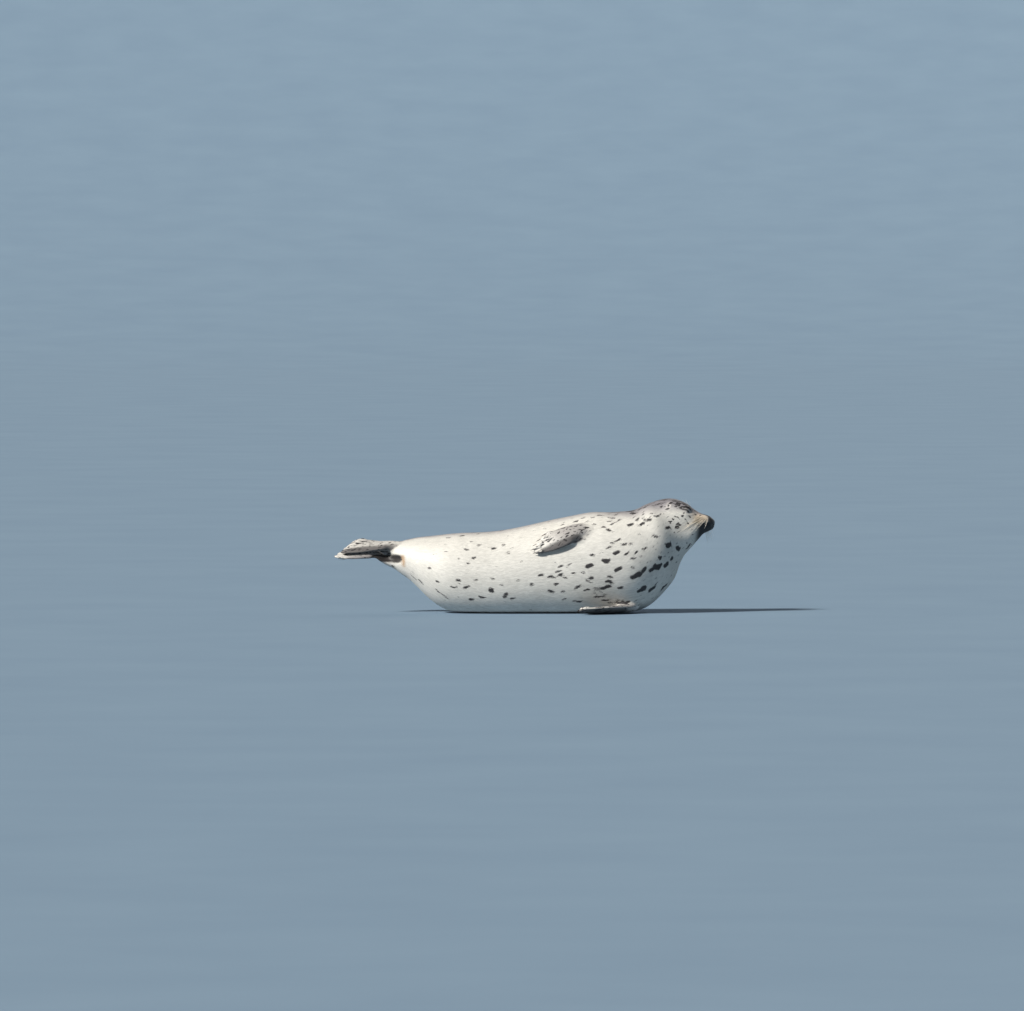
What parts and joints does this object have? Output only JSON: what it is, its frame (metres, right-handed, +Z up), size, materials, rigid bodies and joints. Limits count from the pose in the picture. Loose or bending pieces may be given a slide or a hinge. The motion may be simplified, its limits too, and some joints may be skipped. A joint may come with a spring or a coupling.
{
  "type": "harbor seal",
  "caption": "Life-size still model of a harbor seal hauled out on its left side, head and hind flippers raised in a curve.",
  "frame": {"origin": "on the floor under the middle of the trunk, on the flat that the seal lies on", "axes": "+X towards the head, -Y towards the belly side, +Z up off the floor"},
  "size_m": [1.4173, 0.3726, 0.4293],
  "materials": {
    "coat": "short dense silver-grey to cream fur with dark grey spots",
    "flipper_coat": "very short grey fur over webbed digits",
    "nose_skin": "bare black pebbled skin, damp",
    "eye": "wet, near-black, glossy",
    "claw": "dark grey-brown horn, worn satin"
  },
  "bodies": {
    "root": {"hips": "coat", "abdomen": "coat", "chest": "coat", "neck": "coat", "head": "coat", "muzzle": "coat", "nose": "nose_skin", "tail": "coat", "fore_flipper_right": "flipper_coat", "fore_flipper_left": "flipper_coat", "hind_flipper_right": "flipper_coat", "hind_flipper_left": "flipper_coat", "eye_right": "eye", "eye_left": "eye", "claw_fore_right_1": "claw", "claw_fore_right_2": "claw", "claw_fore_right_3": "claw", "claw_fore_right_4": "claw", "claw_fore_right_5": "claw", "claw_fore_left_1": "claw", "claw_fore_left_2": "claw", "claw_fore_left_3": "claw", "claw_fore_left_4": "claw", "claw_fore_left_5": "claw", "claw_hind_right_1": "claw", "claw_hind_right_2": "claw", "claw_hind_right_3": "claw", "claw_hind_right_4": "claw", "claw_hind_right_5": "claw", "claw_hind_left_1": "claw", "claw_hind_left_2": "claw", "claw_hind_left_3": "claw", "claw_hind_left_4": "claw", "claw_hind_left_5": "claw"}
  },
  "joints": []
}
